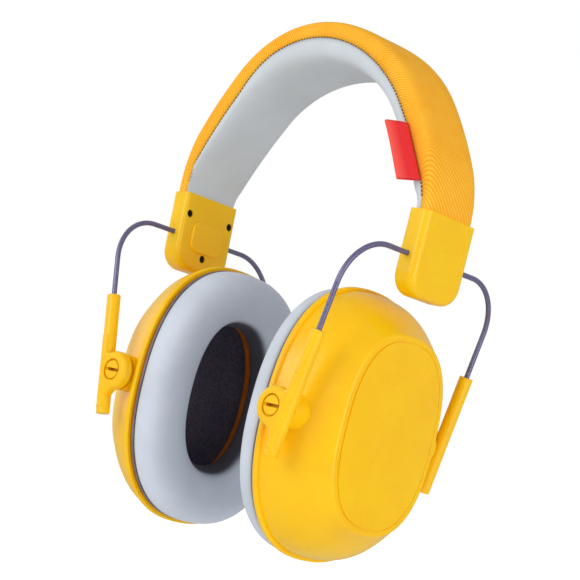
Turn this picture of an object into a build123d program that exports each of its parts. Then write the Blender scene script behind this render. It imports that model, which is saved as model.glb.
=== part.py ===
from build123d import *
import math
import os

# Earmuff hearing protector with a padded headband, wire arms and sliding, tilting cups.
# Millimetres and degrees. X runs across the head (right cup at +X), Y to the rear, Z up.
# The origin is the underside of the headband padding at the crown, where the head carries it.
# Each side is built as the right one, and the left one is its mirror image.

# Headband arch: the seam between cover and lining, as tangent arcs from the crown to the cap
crown_radius = 52.0
crown_angle = 53.0
flank_radius = 189.0
flank_angle = 63.4
shoulder_radius = 26.4
cap_lean = 2.5
band_width = 28.0
cover_rise_crown = 7.6
cover_rise_cap = 4.1
lining_puff_crown = 5.0
lining_puff_cap = 3.0
fabric_wall = 1.0
cover_edge_round = 3.1
lining_edge_round = 2.4
seam_gap = 0.2
soft_gap = 0.3
spring_width = 16.0
spring_wall = 1.0
spring_tail = 12.5
foam_setback = 2.0
inner_foam_round = 0.8
tab_width = 23.0
tab_length = 6.0

# Sewn-in side tag, a folded strip of woven ribbon, left bare
tag_width = 24.0
tag_length = 9.4
tag_wall = 0.9
tag_angle = 60.5
tag_swing = 22.0

# End caps: an outer shell and an inner cover, held by three screws
cap_width = 29.1
cap_outer_depth = 5.0
cap_inner_depth = 4.3
cap_above_wire = 16.5
cap_below_wire = 14.4
cap_corner_radius = 8.0
cap_outer_round = 3.0
cap_inner_round = 2.0
cap_wall = 1.4
cover_plate_wall = 1.6
pad_width = 17.0
pad_height = 12.5
pad_proud = 0.9
pad_corner_radius = 4.0
rib_spacing = 12.0
rib_wall = 1.6
screw_top_drop = 8.3
screw_side_inset = 3.2
screw_bottom_drop = 8.1
screw_head_radius = 1.5
screw_head_height = 1.0
screw_recess = 0.5
screw_shank_radius = 0.8
screw_length = 6.5
screw_boss_radius = 2.2

# Wire arms; the side gap is from the cup's rim to the middle of a leg
arm_side_gap = 2.4
wire_radius = 1.0
wire_clearance = 0.05
arm_bend_radius = 18.0
arm_lean = 11.6
wire_in_slider = 36.0

# Sliders; the drop is from the wire hole in the cap to the slider's top, along the leg,
# and the cup's tilt is from upright, positive with its top outwards
right_slider_drop = 35.7
left_slider_drop = 33.2
right_cup_tilt = 2.4
left_cup_tilt = -1.5
slider_radius = 2.6
slider_length = 46.5
slider_floor = 2.0
slider_end_round = 0.4
eye_radius = 7.3
eye_offset = 5.8
eye_depth = 30.3
eye_wall = 5.0
eye_face = 3.0
eye_edge_round = 1.75
web_width = 3.6
web_height = 29.0
web_upper_fillet = 1.6
web_lower_fillet = 5.0

# Split pivot studs moulded on the cup, which snap through the eyes
stud_radius = 3.2
stud_clearance = 0.05
stud_head_radius = 3.55
stud_head_height = 1.1
stud_slot_width = 1.2
stud_slot_depth = 3.6
recess_radius = 4.2
recess_depth = 1.2
eye_side_gap = 0.25
boss_radius = 6.9

# Cup outlines are superellipses: half width (Y), half height (Z), power and centre height
rim_place = -7.8
rim_half_width = 40.4
rim_half_height = 50.9
rim_power = 2.37
rim_drop = 0.5
flange_wall = 2.0
flange_step = 1.3
flange_round = 0.6
plate_place = 17.2
plate_half_width = 23.6
plate_half_height = 33.8
plate_power = 2.54
plate_drop = 0.0
plate_crown = 1.0
shoulder_width = 2.6
shoulder_drop = 0.3
shoulder_round = 1.6
side_bulge = 1.14
side_sharpness = 1.13
end_bulge = 2.43
end_sharpness = 0.72
shell_wall = 2.2
groove_width = 0.6
groove_depth = 0.5

# Seal plate, cushion and acoustic foam
seal_wall = 1.6
seal_inset = 1.8
spigot_wall = 1.5
spigot_depth = 3.0
fit_gap = 0.2
cushion_depth = 10.3
cushion_inset = 1.2
cushion_outer_round = 5.7
cushion_back_round = 1.5
cushion_inner_round = 4.5
ear_half_width = 19.4
ear_half_height = 30.1
ear_power = 2.3
ear_drop = 0.0
seal_hole_half_width = 16.8
seal_hole_half_height = 29.5
seal_hole_power = 2.1
seal_hole_drop = 0.8
foam_wall = 6.0
foam_base = 7.0
foam_gap = 1.6
oval_points = 20


# ---- Headband arch ----

def arch_arcs(rise_crown, rise_cap):
    # Centres and radii of the right-hand arcs of a curve that lies rise_crown above the seam
    # at the crown and rise_cap outside it at the cap, with the seam's own tangent angles.
    angles = [math.radians(a) for a in (crown_angle, flank_angle, 90 + cap_lean)]
    s = [math.sin(a) for a in angles]
    c = [math.cos(a) for a in angles]
    a11, a12, b1 = s[1] - s[0], s[2] - s[1], rise_cap * s[2] - rise_crown * s[0]
    a21, a22, b2 = c[1] - c[0], c[2] - c[1], rise_cap * c[2] - rise_crown * c[0]
    det = a11 * a22 - a12 * a21
    radii = [
        crown_radius + rise_crown,
        flank_radius + (b1 * a22 - a12 * b2) / det,
        shoulder_radius + (a11 * b2 - b1 * a21) / det,
    ]
    centres = [(0.0, lining_puff_crown - crown_radius)]
    for i in (1, 2):
        step = radii[i - 1] - radii[i]
        x, z = centres[-1]
        centres.append((x + step * s[i - 1], z + step * c[i - 1]))
    return angles, centres, radii


def arch_point(centre, radius, angle):
    return (centre[0] + radius * math.sin(angle), centre[1] + radius * math.cos(angle))


def arch_edges(rise_crown, rise_cap):
    # The whole curve from the left cap to the right one, in the XZ plane.
    angles, centres, radii = arch_arcs(rise_crown, rise_cap)
    right = [(centres[i], radii[i], angles[i - 1], angles[i]) for i in (1, 2)]
    left = [((-c[0], c[1]), r, -b, -a) for c, r, a, b in reversed(right)]
    crown = [(centres[0], radii[0], -angles[0], angles[0])]
    return [
        ThreePointArc(arch_point(c, r, a), arch_point(c, r, (a + b) / 2), arch_point(c, r, b))
        for c, r, a, b in left + crown + right
    ]


def arch_layer(outer, inner, width, rounding=0.0, round_outer=True):
    upper = arch_edges(*outer)
    lower = arch_edges(*inner)
    sides = [Line(upper[-1] @ 1, lower[-1] @ 1), Line(upper[0] @ 0, lower[0] @ 0)]
    layer = extrude(Plane.XZ * make_face(upper + lower + sides), width / 2, both=True)
    if rounding:
        radii = arch_arcs(*(outer if round_outer else inner))[2]
        long_edges = [
            e for e in layer.edges().filter_by(GeomType.CIRCLE)
            if any(abs(e.radius - r) < 1e-4 for r in radii)
        ]
        layer = fillet(long_edges, rounding)
    return layer


def arch_end():
    angles, centres, radii = arch_arcs(0, 0)
    return arch_point(centres[-1], radii[-1], angles[-1])


# Frames of the right side: the cap's and the arm's both start on the wire hole's axis
end_x, end_z = arch_end()
hinge_x = end_x - cap_above_wire * math.sin(math.radians(cap_lean))
hinge_z = end_z - cap_above_wire * math.cos(math.radians(cap_lean))
cap_frame = Pos(hinge_x, 0, hinge_z) * Rot(0, cap_lean, 0)
arm_frame = Pos(hinge_x, 0, hinge_z) * Rot(0, arm_lean, 0)


def block(x, y, z):
    # A box from three (low, high) pairs.
    size = Box(x[1] - x[0], y[1] - y[0], z[1] - z[0])
    return Pos((x[0] + x[1]) / 2, (y[0] + y[1]) / 2, (z[0] + z[1]) / 2) * size


def mirrored(shape):
    return mirror(shape, about=Plane.YZ)


def both_sides(shape):
    return shape + mirrored(shape)


# ---- Headband ----

def headband_cover():
    shell = arch_layer(
        (cover_rise_crown, cover_rise_cap), (0, 0), band_width, cover_edge_round)
    hollow = arch_layer(
        (cover_rise_crown - fabric_wall, cover_rise_cap - fabric_wall), (-1, -1),
        band_width - 2 * fabric_wall, cover_edge_round - fabric_wall)
    tab_face = cover_rise_cap - 0.7 * fabric_wall
    tab = cap_frame * block(
        (tab_face - fabric_wall, tab_face), (-tab_width / 2, tab_width / 2),
        (cap_above_wire - tab_length, cap_above_wire + foam_setback / 2))
    return shell - hollow + both_sides(tab)


def headband_lining():
    shell = arch_layer(
        (-seam_gap, -seam_gap), (-lining_puff_crown, -lining_puff_cap),
        band_width, lining_edge_round, round_outer=False)
    hollow = arch_layer(
        (1, 1), (fabric_wall - lining_puff_crown, fabric_wall - lining_puff_cap),
        band_width - 2 * fabric_wall, lining_edge_round - fabric_wall, round_outer=False)
    tab_face = 0.8 * fabric_wall - lining_puff_cap
    tab = cap_frame * block(
        (tab_face, tab_face + fabric_wall), (-tab_width / 2, tab_width / 2),
        (cap_above_wire - tab_length, cap_above_wire + foam_setback / 2))
    return shell - hollow + both_sides(tab)


def headband_spring():
    half = spring_wall / 2
    strip = arch_layer((half, half), (-half, -half), spring_width)
    end_radius = spring_width / 4
    tail = block(
        (-half, half), (-spring_width / 2, spring_width / 2),
        (cap_above_wire - spring_tail, cap_above_wire + half))
    bottom = tail.edges().filter_by(Axis.X).group_by(Axis.Z)[0]
    tail = fillet(bottom, end_radius)
    return strip + both_sides(cap_frame * tail)


def foam_layer(outer, inner, rounding, round_outer):
    width = band_width - 2 * fabric_wall - 2 * soft_gap
    layer = arch_layer(outer, inner, width, rounding, round_outer)
    setback = cap_frame * block(
        (-band_width, band_width), (-band_width, band_width),
        (cap_above_wire - band_width, cap_above_wire + foam_setback))
    return layer - setback - mirrored(setback)


def headband_outer_foam():
    low = spring_wall / 2 + soft_gap
    lid = fabric_wall + soft_gap
    rounding = cover_edge_round - lid
    return foam_layer((cover_rise_crown - lid, cover_rise_cap - lid), (low, low), rounding, True)


def headband_inner_foam():
    high = -spring_wall / 2 - soft_gap
    lid = fabric_wall + soft_gap
    lower = (lid - lining_puff_crown, lid - lining_puff_cap)
    return foam_layer((high, high), lower, inner_foam_round, False)


def side_tag():
    # A ribbon folded double, sewn in the front seam, standing forwards and a little inwards.
    angles, centres, radii = arch_arcs(0, 0)
    x, z = arch_point(centres[1], radii[1], math.radians(tag_angle))
    frame = Pos(x, -band_width / 2 - soft_gap, z) * Rot(0, tag_angle, 0) * Rot(tag_swing, 0, 0)
    leaf = block((-tag_width / 2, tag_width / 2), (-tag_length, 0), (-tag_wall / 2, tag_wall / 2))
    fold = leaf.edges().filter_by(Axis.X).group_by(Axis.Y)[0]
    return frame * fillet(fold, 0.45 * tag_wall)


# ---- End cap ----

def cap_outline(inset):
    # The cap's face in its own YZ plane, shrunk by inset on the sides and the bottom.
    width = cap_width - 2 * inset
    height = cap_above_wire + cap_below_wire - inset
    centre = (cap_above_wire - cap_below_wire + inset) / 2
    face = Rectangle(width, height)
    corners = face.vertices().group_by(Axis.Y)[0]
    return Pos(0, centre) * fillet(corners, cap_corner_radius - inset)


def cap_block():
    body = extrude(Plane.YZ * cap_outline(0), cap_outer_depth)
    body += extrude(Plane.YZ * cap_outline(0), -cap_inner_depth)

    def rim(place):
        edges = body.edges().filter_by_position(Axis.X, place - 0.01, place + 0.01)
        return edges.sort_by(Axis.Z)[:-1]

    body = fillet(rim(cap_outer_depth), cap_outer_round)
    return fillet(rim(-cap_inner_depth), cap_inner_round)


def screw_places():
    side = cap_width / 2 - screw_side_inset
    top = cap_above_wire - screw_top_drop
    return [(-side, top), (side, top), (0, -screw_bottom_drop)]


def along_x(radius, start, end):
    # A cylinder on the X axis between two places.
    return Pos((start + end) / 2, 0, 0) * Rot(0, 90, 0) * Cylinder(radius, abs(end - start))


def along_y(radius, start, end):
    return Pos(0, (start + end) / 2, 0) * Rot(90, 0, 0) * Cylinder(radius, abs(end - start))


split_plane = cover_plate_wall - cap_inner_depth


def wire_ribs(low, high):
    ribs = block((low, high), (-rib_spacing / 2, -rib_spacing / 2 + rib_wall), (-4, 4))
    return ribs + mirror(ribs, about=Plane.XZ)


def end_cap_shell():
    big = 2 * cap_width
    body = cap_block() & block((split_plane, big), (-big, big), (-big, big))
    inside = cap_outer_depth - cap_wall
    cavity = extrude(Plane.YZ * cap_outline(cap_wall), inside)
    cavity += extrude(Plane.YZ * cap_outline(cap_wall), 2 * split_plane)
    open_top = block(
        (2 * split_plane, inside), (cap_wall - cap_width / 2, cap_width / 2 - cap_wall),
        (0, 2 * cap_above_wire))
    body -= cavity + open_top
    body += wire_ribs(0, inside + cap_wall / 2)
    for y, z in screw_places():
        boss = along_x(screw_boss_radius, split_plane, inside + cap_wall / 2)
        body += Pos(0, y, z) * boss & cap_block()
    screw_tip = screw_recess - cap_inner_depth + screw_length
    for y, z in screw_places():
        body -= Pos(0, y, z) * along_x(screw_shank_radius, 2 * split_plane, screw_tip + fit_gap)
    return body - along_y(wire_radius + wire_clearance, -cap_width, cap_width)


def end_cap_cover():
    big = 2 * cap_width
    plate = cap_block() & block((-big, split_plane), (-big, big), (-big, big))
    pad = extrude(Plane.YZ * RectangleRounded(pad_width, pad_height, pad_corner_radius),
                  -cap_inner_depth - pad_proud)
    pad = fillet(pad.faces().sort_by(Axis.X)[0].edges(), 0.6 * pad_proud)
    pad &= block((-big, split_plane), (-big, big), (-big, big))
    plate += pad + wire_ribs(split_plane - 1, -fit_gap / 2)
    for y, z in screw_places():
        plate -= Pos(0, y, z) * along_x(
            screw_head_radius + wire_clearance, -2 * cap_inner_depth,
            screw_recess + screw_head_height - cap_inner_depth)
        plate -= Pos(0, y, z) * along_x(
            screw_shank_radius + wire_clearance, -cap_inner_depth, cap_inner_depth)
    return plate - along_y(wire_radius + wire_clearance, -cap_width, cap_width)


def end_cap_screws():
    start = screw_recess - cap_inner_depth
    screw = along_x(screw_head_radius, start, start + screw_head_height)
    screw += along_x(screw_shank_radius - wire_clearance, start, start + screw_length)
    cross = block((start - 1, start + 0.5), (-0.2, 0.2), (-1, 1))
    screw -= cross + Rot(90, 0, 0) * cross
    return [Pos(0, y, z) * screw for y, z in screw_places()]


# ---- Wire arm and sliders ----

arm_half_span = rim_half_width + arm_side_gap

def wire_arm(drop):
    foot = -(drop + wire_in_slider)
    route = FilletPolyline(
        (0, -arm_half_span, foot), (0, -arm_half_span, 0),
        (0, arm_half_span, 0), (0, arm_half_span, foot), radius=arm_bend_radius)
    start = Plane(origin=route @ 0, z_dir=route % 0)
    return sweep(start * Circle(wire_radius), path=route)


def slider_front(drop):
    # The eye stands towards the head from the tube, and both faces of it are flat.
    outer_face = -arm_half_span - eye_face
    tube = Pos(0, -arm_half_span, -drop - slider_length / 2) * Cylinder(
        slider_radius, slider_length)
    tube = fillet(tube.edges().filter_by(GeomType.CIRCLE), slider_end_round)
    eye = Circle(eye_radius)
    web = Pos(eye_offset, 0) * Rectangle(web_width, web_height)
    profile = eye + web
    notch = [v for v in profile.vertices() if abs(v.Y) < eye_radius and v.X < eye_offset]
    upper = [v for v in notch if v.Y > 0]
    profile = fillet(upper, web_upper_fillet)
    notch = [v for v in profile.vertices() if abs(v.Y) < eye_radius and v.X < eye_offset]
    lower = [v for v in notch if -eye_radius < v.Y < -eye_radius / 2]
    profile = fillet(lower, web_lower_fillet)
    lobe = extrude(Plane.XZ * profile, -eye_wall)
    rims = lobe.faces().filter_by(Axis.Y)
    lobe = fillet(rims.edges(), eye_edge_round)
    lobe = Pos(-eye_offset, outer_face, -drop - eye_depth) * lobe
    body = tube + lobe
    body -= Pos(0, -arm_half_span, -drop - (slider_length - slider_floor) / 2) * Cylinder(
        wire_radius + wire_clearance, slider_length - slider_floor)
    pin_axis = Pos(-eye_offset, 0, -drop - eye_depth)
    body -= pin_axis * along_y(
        stud_radius + stud_clearance, outer_face - 1, outer_face + 2 * eye_wall)
    return body - pin_axis * along_y(
        recess_radius, outer_face - 1, outer_face + recess_depth)


def slider_rear(drop):
    return mirror(slider_front(drop), about=Plane.XZ)


# ---- Cup ----
# In the cup's own frame the pivot axis is Y through the origin and X points outwards.

def oval(half_width, half_height, power, drop, place):
    points = []
    for i in range(oval_points):
        t = 2 * math.pi * i / oval_points
        c, s = math.cos(t), math.sin(t)
        y = half_width * math.copysign(abs(c) ** (2 / power), c)
        z = half_height * math.copysign(abs(s) ** (2 / power), s) - drop
        points.append((place, y, z))
    return make_face(Spline(*points, periodic=True))


def cup_section(share, inset, floor):
    # share runs from 0 at the rim to 1 at the shoulder of the plate; the flanks are nearly
    # straight at the sides and bulge at the ends. inset shrinks it and floor lowers its top.
    side = (1 - share ** side_bulge) ** (1 / side_sharpness)
    end = (1 - share ** end_bulge) ** (1 / end_sharpness)
    top_width = plate_half_width + shoulder_width
    top_height = plate_half_height + shoulder_width
    half_width = top_width + (rim_half_width - flange_step - top_width) * side
    half_height = top_height + (rim_half_height - flange_step - top_height) * end
    power = rim_power + (plate_power - rim_power) * share
    drop = rim_drop + (plate_drop - rim_drop) * share
    place = rim_place + (plate_place - shoulder_drop - floor - rim_place) * share
    return oval(half_width - inset, half_height - inset, power, drop, place)


section_shares = (0.0, 0.2, 0.45, 0.7, 0.88, 1.0)


def cup_form(inset, floor):
    return loft([cup_section(share, inset, floor) for share in section_shares])


def oval_slab(half_width, half_height, power, drop, low, high):
    return extrude(oval(half_width, half_height, power, drop, low), high - low, dir=(1, 0, 0))


def rim_slab(inset, low, high):
    return oval_slab(
        rim_half_width - inset, rim_half_height - inset, rim_power, rim_drop, low, high)


flange_back = rim_place - flange_wall / 2
eye_inner = arm_half_span + eye_face - eye_wall
boss_end = arm_half_span - slider_radius - eye_side_gap


def cup_shell():
    flange = rim_slab(0, flange_back, flange_back + flange_wall)
    flange = fillet(flange.edges(), flange_round)
    crown = oval_slab(plate_half_width, plate_half_height, plate_power, plate_drop,
                      plate_place - 1, plate_place)
    crown += loft([
        oval(plate_half_width * k, plate_half_height * k, plate_power, plate_drop,
             plate_place + plate_crown * (1 - k ** 2))
        for k in (1.0, 0.75, 0.4)])
    form = cup_form(0, 0)
    form = fillet(form.faces().sort_by(Axis.X)[-1].edges(), shoulder_round)
    body = form + crown + flange
    body += along_y(boss_radius, -boss_end, boss_end)
    body -= cup_form(shell_wall, shell_wall)
    body -= rim_slab(flange_step + shell_wall, flange_back - 1, rim_place)
    outer = oval_slab(plate_half_width + groove_width, plate_half_height + groove_width,
                      plate_power, plate_drop, plate_place - groove_depth, plate_place + 1)
    inner = oval_slab(plate_half_width, plate_half_height,
                      plate_power, plate_drop, plate_place - 1, plate_place + 2)
    body -= outer - inner
    return body + pivot_stud() + mirror(pivot_stud(), about=Plane.XZ)


def pivot_stud():
    root = boss_end - eye_side_gap
    tip = eye_inner + eye_wall
    stud = along_y(stud_radius, -root, -tip)
    head = along_y(stud_head_radius, -(tip - stud_head_height), -tip)
    head = fillet(head.faces().sort_by(Axis.Y)[0].edges(), 0.4 * stud_head_height)
    slot = block((-recess_radius, recess_radius), (-tip - 1, -tip + stud_slot_depth),
                 (-stud_slot_width / 2, stud_slot_width / 2))
    return stud + head - slot


seal_back = flange_back - fit_gap / 2
cushion_back = seal_back - seal_wall - fit_gap


def seal_plate():
    # A flat ring with a spigot that follows the inside of the cup's mouth.
    plate = rim_slab(seal_inset, seal_back - seal_wall, seal_back)
    inset = shell_wall + fit_gap
    spigot = cup_form(inset, shell_wall) & block(
        (rim_place - 1, seal_back + spigot_depth), (-rim_half_width, rim_half_width),
        (-2 * rim_half_height, rim_half_height))
    spigot += rim_slab(flange_step + inset, seal_back - seal_wall / 2, rim_place)
    bore = cup_form(inset + spigot_wall, shell_wall)
    bore += rim_slab(flange_step + inset + spigot_wall, seal_back - 2 * seal_wall, rim_place)
    hole = oval_slab(seal_hole_half_width, seal_hole_half_height, seal_hole_power,
                     seal_hole_drop, seal_back - 2 * seal_wall, seal_back + seal_wall)
    return plate - hole + (spigot - bore)


def ear_cushion():
    front = cushion_back - cushion_depth
    ring = rim_slab(cushion_inset, front, cushion_back)
    ring = fillet(ring.faces().sort_by(Axis.X)[0].edges(), cushion_outer_round)
    ring = fillet(ring.faces().sort_by(Axis.X)[-1].edges(), cushion_back_round)
    hole = oval_slab(ear_half_width, ear_half_height, ear_power, ear_drop,
                     front - 1, cushion_back + 1)
    ring -= hole
    lip = [e for e in ring.edges().filter_by_position(Axis.X, front - 0.01, front + 0.01)]
    lip = ShapeList(lip).sort_by(SortBy.LENGTH)[0]
    return fillet(lip, cushion_inner_round)


def acoustic_foam():
    start = seal_back + spigot_depth + foam_gap
    floor = shell_wall + soft_gap
    big = 2 * rim_half_height
    body = cup_form(floor, floor) - cup_form(floor + foam_wall, floor + foam_base)
    return body & block((start, big), (-big, big), (-big, big))


# ---- Assembly ----

os.makedirs("parts", exist_ok=True)


def save(name, shape):
    export_step(shape, f"parts/{name}.step")


save("headband_cover", headband_cover())
save("headband_lining", headband_lining())
save("headband_spring", headband_spring())
save("headband_outer_foam", headband_outer_foam())
save("headband_inner_foam", headband_inner_foam())
save("side_tag", side_tag())

cup_parts = {
    "cup_shell": cup_shell(),
    "seal_plate": seal_plate(),
    "ear_cushion": ear_cushion(),
    "acoustic_foam": acoustic_foam(),
}
cap_parts = {
    "end_cap_shell": end_cap_shell(),
    "end_cap_cover": end_cap_cover(),
    "end_cap_screws": Compound(end_cap_screws()),
}
sides = (
    ("right", right_slider_drop, right_cup_tilt),
    ("left", left_slider_drop, left_cup_tilt),
)
for side, drop, tilt in sides:
    place = mirrored if side == "left" else (lambda shape: shape)
    for name, shape in cap_parts.items():
        save(f"{side}_{name}", place(cap_frame * shape))
    save(f"{side}_wire_arm", place(arm_frame * wire_arm(drop)))
    save(f"{side}_front_slider", place(arm_frame * slider_front(drop)))
    save(f"{side}_rear_slider", place(arm_frame * slider_rear(drop)))
    pivot = (arm_frame * Pos(-eye_offset, 0, -drop - eye_depth)).position
    for name, shape in cup_parts.items():
        save(f"{side}_{name}", place(Pos(*pivot) * Rot(0, tilt, 0) * shape))
    print(side, "hinge", round(hinge_x, 3), round(hinge_z, 3), "pivot", pivot)
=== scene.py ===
import math
import bpy
from mathutils import Matrix, Vector


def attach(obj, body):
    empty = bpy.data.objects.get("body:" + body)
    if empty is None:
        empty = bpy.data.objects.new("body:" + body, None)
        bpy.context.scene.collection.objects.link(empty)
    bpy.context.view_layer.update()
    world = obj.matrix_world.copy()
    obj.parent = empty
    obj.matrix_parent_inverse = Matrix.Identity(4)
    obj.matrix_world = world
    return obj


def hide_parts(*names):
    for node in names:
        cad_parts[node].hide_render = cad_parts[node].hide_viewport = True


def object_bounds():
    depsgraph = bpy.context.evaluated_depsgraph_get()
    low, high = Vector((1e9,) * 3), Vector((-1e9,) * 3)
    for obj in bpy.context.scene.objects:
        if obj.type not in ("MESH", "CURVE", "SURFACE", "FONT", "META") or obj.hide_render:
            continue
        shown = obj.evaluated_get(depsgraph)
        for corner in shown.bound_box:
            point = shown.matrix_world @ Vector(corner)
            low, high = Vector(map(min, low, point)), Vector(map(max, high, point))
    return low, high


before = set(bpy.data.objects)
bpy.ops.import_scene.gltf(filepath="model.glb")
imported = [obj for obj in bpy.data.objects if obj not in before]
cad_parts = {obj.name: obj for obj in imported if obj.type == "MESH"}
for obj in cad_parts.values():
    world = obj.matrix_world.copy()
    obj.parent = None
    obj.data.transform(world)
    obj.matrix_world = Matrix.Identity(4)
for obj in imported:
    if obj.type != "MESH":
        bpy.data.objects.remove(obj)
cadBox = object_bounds()
mm = 0.001

# The padded arch, as the part's own source has it: three tangent arcs each side, in mm and degrees
arch = {
    "crownRadius": 52.0, "flankRadius": 189.0, "shoulderRadius": 26.4,
    "crownAngle": 53.0, "flankAngle": 63.4, "endAngle": 92.5,
    "seamHeight": 5.0, "width": 28.0,
    "coverRise": (7.6, 4.1), "liningPuff": (5.0, 3.0),
    "step": 1.3,
}
# The cups' places and outlines, in mm: pivots in the frame, outlines in the cup's own frame.
# An outline is half width, half height, power of the oval, and how far its middle is raised.
cup = {
    "pivot": {"right": (42.679, -137.765), "left": (-43.182, -135.316)},
    "tilt": {"right": 2.4, "left": -1.5},
    "rim": (40.4, 50.9, 2.37, -0.5),
    "ear": (19.4, 30.1, 2.3, 0.0),
    "shoulder": (26.2, 36.4, 2.54, 0.0),
    "rimPlace": -7.8, "shoulderPlace": 16.9, "rimStep": 1.3,
    "sideBend": (1.14, 1.13), "endBend": (2.43, 0.72),
}
sides = {"right": 1.0, "left": -1.0}
# Nearly all of a noise pattern's values lie between these two
spread = {"From Min": 0.3, "From Max": 0.7}


def srgb(hexValue):
    channels = [int(hexValue[i:i + 2], 16) / 255 for i in (1, 3, 5)]
    linear = [c / 12.92 if c < 0.04045 else ((c + 0.055) / 1.055) ** 2.4 for c in channels]
    return (*linear, 1.0)


def perMetre(sizeMm):
    # A pattern's scale, from the real size of its grain
    return 1 / (sizeMm * mm)


def waveTurn(pitchMm):
    # What turns a length along the cloth into the angle of a wave of this pitch
    return 2 * math.pi / (pitchMm * mm)


def addNode(tree, kind, inputs=None, **settings):
    # inputs: socket name or index -> a plain value, a node (its first output) or an output
    node = tree.nodes.new(kind)
    for name, value in settings.items():
        setattr(node, name, value)
    for name, value in (inputs or {}).items():
        if isinstance(value, bpy.types.Node):
            value = value.outputs[0]
        if isinstance(value, bpy.types.NodeSocket):
            tree.links.new(value, node.inputs[name])
        else:
            node.inputs[name].default_value = value
    return node


def newMaterial(name):
    material = bpy.data.materials.new(name)
    material.use_nodes = True
    material.node_tree.nodes.clear()
    return material, material.node_tree


def mouldedAbs(name, deep, plain):
    # Injection-moulded ABS with a fine satin texture: even opaque colour, soft broad highlights,
    # and a little light carried under the surface that warms the shaded side
    finish = {"grainMm": 0.35, "blotchMm": 14.0, "scuffMm": 3.0, "reliefMm": 0.02,
              "smoothest": 0.27, "roughest": 0.35, "glow": 0.25, "glowMm": 3.0}
    material, tree = newMaterial(name)
    place = addNode(tree, "ShaderNodeTexCoord").outputs["Object"]
    blotch = addNode(tree, "ShaderNodeTexNoise",
                     {"Vector": place, "Scale": perMetre(finish["blotchMm"]), "Detail": 3.0})
    tone = addNode(tree, "ShaderNodeMapRange", {"Value": blotch, **spread})
    colour = addNode(tree, "ShaderNodeMix", {0: tone, 6: srgb(deep), 7: srgb(plain)},
                     data_type="RGBA").outputs[2]
    scuffs = addNode(tree, "ShaderNodeTexNoise",
                     {"Vector": place, "Scale": perMetre(finish["scuffMm"]), "Detail": 5.0,
                      "Roughness": 0.7})
    gloss = addNode(tree, "ShaderNodeMapRange",
                    {"Value": scuffs, "From Min": 0.35, "From Max": 0.65,
                     "To Min": finish["smoothest"], "To Max": finish["roughest"]})
    grain = addNode(tree, "ShaderNodeTexNoise",
                    {"Vector": place, "Scale": perMetre(finish["grainMm"]), "Detail": 3.0,
                     "Roughness": 0.6})
    bump = addNode(tree, "ShaderNodeBump",
                   {"Strength": 0.35, "Distance": finish["reliefMm"] * mm, "Height": grain})
    shader = addNode(tree, "ShaderNodeBsdfPrincipled", {
        "Base Color": colour, "Roughness": gloss, "Normal": bump, "IOR": 1.53,
        "Specular IOR Level": 0.3, "Subsurface Weight": finish["glow"],
        "Subsurface Scale": finish["glowMm"] * mm, "Subsurface Radius": (1.0, 0.45, 0.12)})
    addNode(tree, "ShaderNodeOutputMaterial", {"Surface": shader})
    return material


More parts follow.
